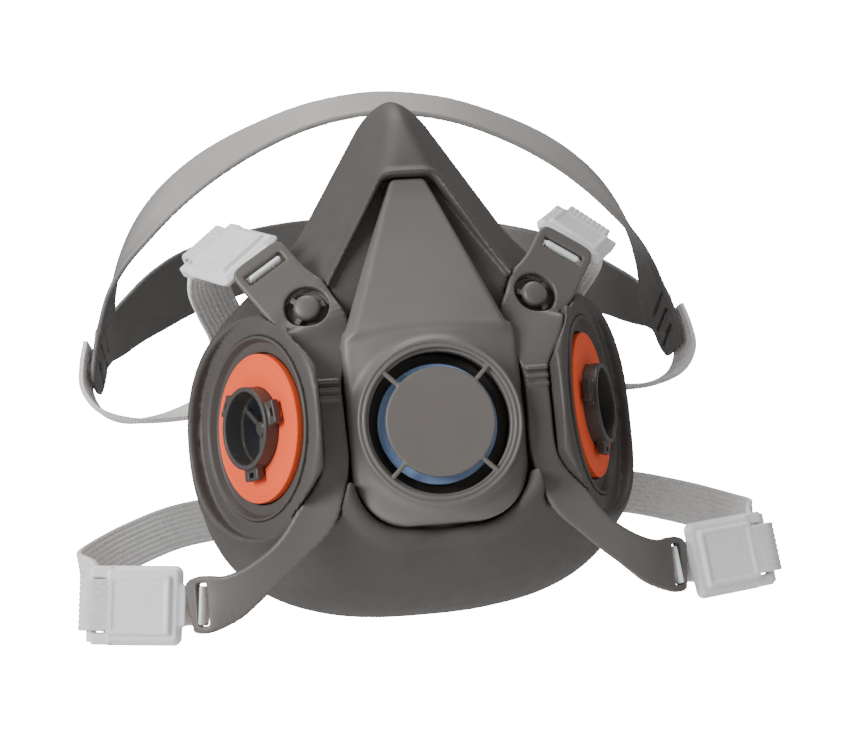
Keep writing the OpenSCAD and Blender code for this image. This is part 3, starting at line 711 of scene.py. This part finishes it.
def grille_shape(q):
    """Blank disc held by four thin spokes, with a step ring inside the housing's opening."""
    x, y, z = q.T
    radial = np.hypot(x, z)
    plate = disc(radial, y - 0.7, 14.5, 0.7, 0.35)
    diagonal = math.sqrt(0.5)
    u, v = np.abs((x + z) * diagonal), np.abs((x - z) * diagonal)
    bar = np.minimum(np.maximum(u - 0.6, np.abs(v - 16.9) - 3.2),
                     np.maximum(v - 0.6, np.abs(u - 16.9) - 3.2))
    spokes = soft_max(bar, np.abs(y - 0.9) - 0.75, 0.4)
    ring = np.hypot(np.maximum(np.abs(radial - 19.3) - 0.35, 0),
                    np.maximum(np.abs(y - 2.6) - 1.2, 0)) - 0.15
    return np.minimum(soft_min(plate, spokes, 0.5), ring)


grille_made = solid(grille_shape, (-20.5, -0.8, -20.5), (20.5, 5, 20.5), 0.3)
piece("front_grille", grille_made, PLASTIC, "root", ["front_cover"])

flap_profile = eased([(0.02, 5.4), (16, 5.4), (16, 6.1), (0.02, 6.1)], [0, 0.3, 0.3, 0])
piece("exhalation_flap", turned(flap_profile, np.zeros(3), (0, 1, 0)), VALVE, "exhalation_valve",
      ["exhalation_valve"], 1, TURNED_FLAT)


# ---- harness arms and pegs ------------------------------------------------------------------
def arm_shape(p):
    """The arm's strip with three ribs, a slot at each end and the hole for its peg."""
    body = strip_solid(ARM, p, ARM_T, 0.8)
    ribs = np.full(len(p), 99.0)
    for z in (8.7, 10.9, 13.1):
        ribs = np.minimum(ribs, capsule(p, (25.4, 5.4, z), (30.4, 5.2, z), 0.75))
    body = soft_min(body, ribs, 0.5)
    slot = TAB_SLOT.local(p)
    body = soft_max(body, -block(slot, (6, 1.6, 9), 0.5), 0.5)
    low = LOW_SLOT.local(p)
    body = soft_max(body, -block(low, (1.6, 5.6, 9), 0.5), 0.5)
    peg = PEG.local(p)
    radial = np.hypot(peg[:, 0], peg[:, 1])
    return soft_max(body, 6 - radial, 0.4)


arm_made = solid(arm_shape, (20, 0, -52), (72, 26, 60), 0.42)


def peg_shape(p):
    """A base in the rubber, a stem, a domed head, and three small tabs round the head."""
    q = PEG.local(p)
    radial = np.hypot(q[:, 0], q[:, 1])
    base = disc(radial, q[:, 2] + 4.8, PEG_R, 1.8, 0.4)
    stem = disc(radial, q[:, 2] + 2.1, 2.6, 1.2, 0.2)
    dome = np.linalg.norm(q + (0, 0, 5), axis=1) - 6.3
    head = soft_max(disc(radial, q[:, 2] + 0.2, 3.6, 1.4, 0.4), dome, 0.8)
    body = soft_min(soft_min(base, stem, 0.6), head, 0.6)
    for degrees in (20, 160, 250):
        a = math.radians(degrees)
        spun = np.stack([q[:, 0] * math.cos(a) + q[:, 1] * math.sin(a),
                         q[:, 1] * math.cos(a) - q[:, 0] * math.sin(a), q[:, 2]], 1)
        body = soft_min(body, block(spun - (4, 0, -1.6), (1.1, 0.8, 0.6), 0.2), 0.3)
    return body


peg_made = solid(peg_shape, PEG.at - 9, PEG.at + 9, 0.3)
for side_name, sign in SIDES:
    piece(f"arm_{side_name}", arm_made, ARM_PLASTIC, "root",
          [f"yoke_arm_{side_name}"], sign)
    piece(f"peg_{side_name}", peg_made, ARM_PLASTIC, "root",
          [f"arm_peg_{side_name}"], sign)


# ---- filter ports ---------------------------------------------------------------------------
def port_shape(p):
    """A tube with two flanges, three lugs with slots, a shoulder in its bore, and a spider.

    The spider's hub carries the pin that holds the inhalation flap.
    """
    q = PORT.local(p)
    h, radial = q[:, 2], np.hypot(q[:, 0], q[:, 1])
    angle = np.degrees(np.arctan2(q[:, 1], q[:, 0]))

    def spoke_frame(at, out, height):
        off = np.radians((angle - at + 180) % 360 - 180)
        return np.stack([radial * np.cos(off) - out, radial * np.sin(off), h - height], 1)

    tube = disc(radial, h - (COLLAR_TOP + COLLAR_LOW) / 2, 11.1, (COLLAR_TOP - COLLAR_LOW) / 2, 0.3)
    tube = soft_min(tube, disc(radial, h - FLANGE_TOP + 0.77, 19.4, 0.72, 0.2), 0.4)
    tube = soft_min(tube, disc(radial, h - FLOOR_TOP + SHELL_T + 0.9, 15, 0.8, 0.3), 0.6)
    for lug_at in (180, 78, 305):
        lug = spoke_frame(lug_at, 12.1, 2.0)
        tube = soft_min(tube, block(lug, (1.9, 3.2, 1.1), 0.25), 0.3)
        tube = soft_max(tube, -block(lug - (0.45, 0, 0), (0.65, 1.2, 5), 0.2), 0.2)
    tube = soft_max(tube, -np.maximum(radial - np.where(h > -1, 9.75, 9.25), h - 30), 0.3)
    for arm_at in (70, 190, 310):
        spoke = spoke_frame(arm_at, 5, -1.85)
        tube = soft_min(tube, block(spoke, (5.2, 0.7, 0.8), 0.2), 0.5)
    hub = disc(radial, h + 2.2, 1.9, 1.6, 0.4)
    pin = disc(radial, h + 7.8, 1.4, 6.8, 0.2)
    head = disc(radial, h + 14.5, 2.5, 0.6, 0.3)
    return soft_min(soft_min(soft_min(tube, hub, 0.8), pin, 0.3), head, 0.3)


port_made = solid(port_shape, PORT_AT - (24, 22, 22), PORT_AT + (22, 20, 22), 0.42)
# a flat ring with a shallow groove near its rim
gasket_profile = eased(
    [(11.15, FLANGE_TOP), (20, FLANGE_TOP), (20, GASKET_TOP), (19.2, GASKET_TOP + 0.02),
     (19.0, GASKET_TOP - 0.18), (18.4, GASKET_TOP - 0.18), (18.2, GASKET_TOP), (11.15, GASKET_TOP)],
    [0.2, 0.2, 0.35, 0.1, 0.1, 0.1, 0.1, 0.3])
gasket_made = turned(gasket_profile, PORT_AT, PORT_AXIS, 160)
flap_low, flap_top = COLLAR_LOW - 0.85, COLLAR_LOW - 0.2
flap_in_profile = eased([(1.75, flap_low), (12, flap_low), (12, flap_top), (1.75, flap_top)], 0.2)
flap_in_made = turned(flap_in_profile, PORT_AT, PORT_AXIS)
for side_name, sign in SIDES:
    piece(f"port_body_{side_name}", port_made, DARK_PLASTIC, "root",
          [f"port_{side_name}"], sign)
    piece(f"gasket_{side_name}", gasket_made, GASKET, "root",
          [f"port_gasket_{side_name}"], sign, TURNED_FLAT)
    node = f"inhalation_valve_{side_name}"
    piece(f"inhalation_flap_{side_name}", flap_in_made, VALVE, node, [node], sign,
          TURNED_FLAT)


# ---- buckles --------------------------------------------------------------------------------
def hinge_axes(name, strap_way):
    """Frame of a left buckle: x along its bar, y towards its strap, z to the front."""
    j = joints[name]
    x = unit(j["axis"])
    y = np.array(strap_way, float)
    y = unit(y - x * (x @ y))
    return Axes(from_row(j["pos_m"]), x, y, np.cross(x, y))


UPPER = hinge_axes("buckle_upper_hinge_left", (0.283, 0.838, 0.466))
LOWER = hinge_axes("buckle_lower_hinge_left", (0.97, 0.22, 0.1))
HOOK_IN, HOOK_T, BUCKLE_LEN = 2.6, 1.3, 27.4  # length from the hinge to the middle of the bar
UPPER_SKEW = 12  # degrees between an upper buckle's plate and its hinge


def buckle_shape(tip, skew):
    """A buckle. Its hook goes tip degrees round the hinge, and its plate is turned by skew."""
    def shape(q):
        x, y, z = q.T
        radial = np.hypot(y, z)
        angle = np.degrees(np.arctan2(-z, y)) % 360
        ring = np.abs(radial - HOOK_IN - HOOK_T / 2) - HOOK_T / 2
        past_tip = np.abs((angle - tip / 2 + 180) % 360 - 180) - tip / 2
        end = np.radians(np.minimum(past_tip, 90)) * radial
        hook = soft_max(soft_max(ring, end, 0.5), np.abs(x) - 5.1, 0.6)
        neck = block(q - (0, 3.8, -1.1), (5.1, 1.1, 1.1), 0.3)
        t = np.stack(unskewed(x, y, skew) + (z,), 1)
        # a frame with chamfered edges, and a raised pad that narrows towards its top
        flat = block(t * (1, 1, 0) - (0, 13.6, 0), (10.5, 10.4, 5), 2.2)
        level = np.abs(z + 0.7) - 1.7
        plate = soft_max(np.maximum(flat, level), (flat + level + 1.5) * 0.7071, 0.3)
        plate = soft_max(plate, -block(t - (0, 13.4, -4.4), (7, 8, 2.9), 0.8), 0.4)
        narrowing = 0.35 * np.maximum(z - 1, 0)
        pad_edge = block(t * (1, 1, 0) - (0, 14.6, 0), (8, 8.6, 5), 1.2) + narrowing
        pad = soft_max(pad_edge, np.abs(z - 1) - 1.2, 0.3)
        dish = block(t - (0, 14.4, 2.6), (6.6, 7.0, 0.75), 0.6)
        body = soft_min(soft_min(hook, neck, 1.0), soft_min(plate, pad, 0.3), 0.8)
        body = soft_max(body, -dish, 0.4)
        # two cheeks that carry the round bar for the strap
        at_cheek = np.stack([np.abs(t[:, 0]) - 8.7, t[:, 1] - 24.6, z + 0.8], 1)
        cheek = block(at_cheek, (1.6, 2.7, 1.6), 0.6)
        bar = soft_max(np.hypot(t[:, 1] - BUCKLE_LEN, z + 0.9) - 1.3, np.abs(t[:, 0]) - 9.6, 0.5)
        return soft_min(soft_min(body, cheek, 0.6), bar, 0.5)
    return shape


def unskewed(x, y, skew):
    """A point of the hinge's plane in the plane of a plate that is turned by skew degrees."""
    a = math.radians(skew)
    return x * math.cos(a) - y * math.sin(a), x * math.sin(a) + y * math.cos(a)


for level, axes, tip, skew in (("upper", UPPER, 165, UPPER_SKEW), ("lower", LOWER, 238, 0)):
    points, quads = solid(buckle_shape(tip, skew), (-12, -4.5, -4.5), (17, 30, 4.5), 0.25)
    made = axes.points(points), quads
    for side_name, sign in SIDES:
        node = f"buckle_{level}_{side_name}"
        piece(f"{node}_moulded", made, CLEAR, node, [node], sign)


# ---- webbing --------------------------------------------------------------------------------
WEB_W, WEB_T, RIBS, RIB_H = 12.7, 1.6, 9, 0.22


def web_section():
    """Outline of the webbing, with lengthwise ribs on both faces."""
    n = RIBS * 5
    u = np.linspace(-WEB_W / 2, WEB_W / 2, n + 1)
    rib = RIB_H * np.abs(np.sin(np.pi * (u + WEB_W / 2) * RIBS / WEB_W)) ** 0.7
    top = np.stack([u, WEB_T / 2 - RIB_H + rib], 1)
    return np.concatenate([top, top[::-1] * (1, -1)])


SECTION = web_section()


def axes_rows(axes, rows):
    """Rows for swept() from rows written in the frame of a buckle."""
    return [[axes.point(*at), axes.turn.T @ np.asarray(across, float)] for at, across in rows]


# each row is [middle of the webbing, direction across it], from the buckle to the far end
head_route = axes_rows(UPPER, [((4.6, 22, -4.4), (1, 0, 0)), ((5.6, 28.5, -6), (1, 0, 0))]) + [
    [(54.5, 50, 50.5), (0.8, 0.05, -0.6)], [(52, 60, 45.5), (0.8, 0, -0.6)],
    [(48.5, 68.5, 39), (0.8, -0.1, -0.6)], [(47, 77, 30.5), (0.85, -0.1, -0.5)],
    [(50, 82, 22.5), (0.8, 0.3, 0)], [(58, 82, 18.5), (0.45, 0.75, 0.3)],
    [(68, 79, 16), (0.25, 0.9, 0.2)], [(78, 75.5, 15.5), (0.1, 0.97, 0.1)],
    [(86, 74, 18.5), (-0.1, 0.98, 0.05)], [(89.8, 73.8, 24.5), (-0.2, 0.97, 0)],
    [(89.6, 74.8, 31), (-0.24, 0.97, 0)], [(88.2, 76, 37.5), (-0.25, 0.96, 0.05)]]
neck_route = axes_rows(LOWER, [((0, 22, -4.4), (-1, 0, 0)), ((0, 26.5, -5.2), (-1, 0, 0))]) + [
    [(92.6, 36, -33), (-0.05, 0.2, 0.97)], [(94.5, 45, -30), (0, 0.25, 0.97)],
    [(89.5, 56, -26), (0.1, 0.25, 0.96)], [(80, 66.5, -21), (0.15, 0.2, 0.96)],
    [(66, 77, -16), (0.1, 0.1, 0.99)], [(48, 87, -13.5), (0, 0.05, 1)],
    [(32, 93, -13), (0, 0, 1)], [(19, 96.5, -13), (0, 0, 1)]]


def strap(name, made, first, last, nodes, sign, across_joint=None):
    """The part of a swept strap between two shares of its length, on root, or on no body when across_joint is
    given.

    across_joint: a body and two shares of the whole length, which are not used.
    """
    points, faces, uv = made
    n = len(SECTION)
    total = len(points) // n - 1
    first, last = int(first * total), int(last * total)
    kept = (last - first) * n
    quads = [[v - first * n for v in f] for f in faces[first * n:last * n]]
    ends = [list(range(n))[::-1], list(range(kept, kept + n))]
    rows = slice(first * n, (last + 1) * n)
    body = None if across_joint else "root"
    part = points[rows], quads + ends, uv[rows]
    obj = piece(name, part, WEBBING, body, (), sign, WEB_FLAT)
    if across_joint:
        other, a, b = across_joint
        if a < b:
            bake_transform(obj)
        else:
            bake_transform(obj)
    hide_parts(*nodes)
    return obj


head_made = swept(np.array(head_route, float), SECTION, 1.0)
neck_made = swept(np.array(neck_route, float), SECTION, 1.0)
for side_name, sign in SIDES:
    node = f"head_strap_{side_name}"
    strap(f"head_webbing_front_{side_name}", head_made, 0, 0.45, [node], sign,
          (f"buckle_upper_{side_name}", 0.42, 0.04))
    strap(f"head_webbing_rear_{side_name}", head_made, 0.45, 1, [node], sign, ("cradle", 0.5, 0.8))
    node = f"neck_strap_{side_name}"
    strap(f"neck_webbing_front_{side_name}", neck_made, 0, 0.5, [node], sign,
          (f"buckle_lower_{side_name}", 0.4, 0.04))
    strap(f"neck_webbing_rear_{side_name}", neck_made, 0.5, 1, [node], sign,
          ("neck_clasp_hook", 0.6, 0.95) if side_name == "left" else None)
# each strap's turn round the bar of its buckle: [along the plate, height over it]
turn = [(21.6, 1.3), (24.8, 1.7), (27.4, 1.95), (29.3, 1.1), (30.15, -0.9), (29.3, -2.9),
        (27, -4.0), (22.5, -4.4)]
for level, axes, skew in (("upper", UPPER, UPPER_SKEW), ("lower", LOWER, 0)):
    sin, cos = math.sin(math.radians(skew)), math.cos(math.radians(skew))
    rows = axes_rows(axes, [((y * sin, y * cos, z), (-cos, sin, 0)) for y, z in turn])
    made = swept(np.array(rows, float), SECTION * (1.05, 1), 0.5)
    for side_name, sign in SIDES:
        piece(f"strap_turn_{level}_{side_name}", made, WEBBING, f"buckle_{level}_{side_name}",
              (), sign, WEB_FLAT)


# ---- head cradle ----------------------------------------------------------------------------
CRADLE_T = 1.8
# Outlines of the two bands: [one edge, other edge], on the wearer's left
CROWN_ROWS = [
    [(0, 52, 97.5), (0, 62, 106.5)], [(18, 53, 95.3), (20, 62, 104)],
    [(34, 54.5, 89.8), (37.5, 64.5, 98.6)], [(49, 57, 82), (52.5, 68, 92)],
    [(61, 61, 73.8), (64.5, 71.5, 83.4)], [(70.5, 64.7, 65.5), (72.5, 75.5, 74)],
    [(77.5, 68.5, 58.8), (77.8, 79, 63.5)], [(82, 70.8, 52), (80.3, 82, 54)],
    [(84.8, 71, 44), (81.2, 84, 44.5)], [(86.6, 69.8, 37), (83.2, 84, 37)],
    [(88, 69.5, 29.5), (84.8, 82.5, 29.5)], [(88.6, 70.5, 25.2), (86.2, 80, 25.6)]]
REAR_ROWS = [
    [(84.9, 73.5, 41), (86.5, 73, 31)], [(81.6, 84.5, 45.5), (82.6, 84, 35.5)],
    [(75.6, 94.5, 53.5), (77.4, 94, 41)], [(66, 107, 63.5), (69, 107, 48)],
    [(53, 119.5, 73.5), (56, 120.5, 56)], [(36, 130, 81), (38, 131.5, 62.5)],
    [(18, 136.5, 85.5), (19, 138, 67)], [(0, 138.5, 86.5), (0, 140, 68)]]


def across_middle(rows, middle_first):
    """Rows of the left half carried a little over the middle plane, where the halves meet."""
    rows = np.array(rows, float)
    beyond = rows[1 if middle_first else -2] * (-1, 1, 1)
    return np.concatenate([[beyond], rows] if middle_first else [rows, [beyond]])


CROWN = Ribbon(across_middle(CROWN_ROWS, True), 6)
REAR = Ribbon(across_middle(REAR_ROWS, False), 6)
# the slots' directions: through the plastic, along a slot, and across it
SLOT_FALL, SLOT_TURN = math.radians(35), math.radians(14.5)
SLOT_OUT = np.array([math.cos(SLOT_TURN), math.sin(SLOT_TURN), 0])
SLOT_LONG = (-SLOT_OUT[1] * math.cos(SLOT_FALL), SLOT_OUT[0] * math.cos(SLOT_FALL),
             -math.sin(SLOT_FALL))
SLOT_AXES = (SLOT_OUT, SLOT_LONG, np.cross(SLOT_OUT, SLOT_LONG))


def cradle_shape(q):
    p = folded(q)
    crown = strip_solid(CROWN, p, CRADLE_T, 0.8, CRADLE_T / 2)
    rear = strip_solid(REAR, p, CRADLE_T - 0.1, 0.8, CRADLE_T / 2 - 0.05)
    body = soft_min(crown, rear, 1.5)
    # three narrow slots that fall towards the back
    for z in (30.5, 35.3, 40.1):
        slot = block(Axes((86, 76, z), *SLOT_AXES).local(p), (5, 4.8, 0.6), 0.3)
        body = soft_max(body, -slot, 0.3)
    return body


cradle_made = solid(cradle_shape, (0, 48, 16), (92, 146, 112), 0.62, mirrored=True)
piece("cradle_moulded", cradle_made, CRADLE, "cradle", ["cradle"])


# ---- CAD nodes that stay as they are --------------------------------------------------------
for node, material, slot in (("valve_seat", DARK_PLASTIC, "frame_plastic"),
                             ("neck_clasp_hook", CLEAR, "buckle_plastic"),
                             ("neck_clasp_loop", CLEAR, "buckle_plastic")):
    mesh = frame["nodes"][node].data
    mesh.materials.clear()
    mesh.materials.append(material)
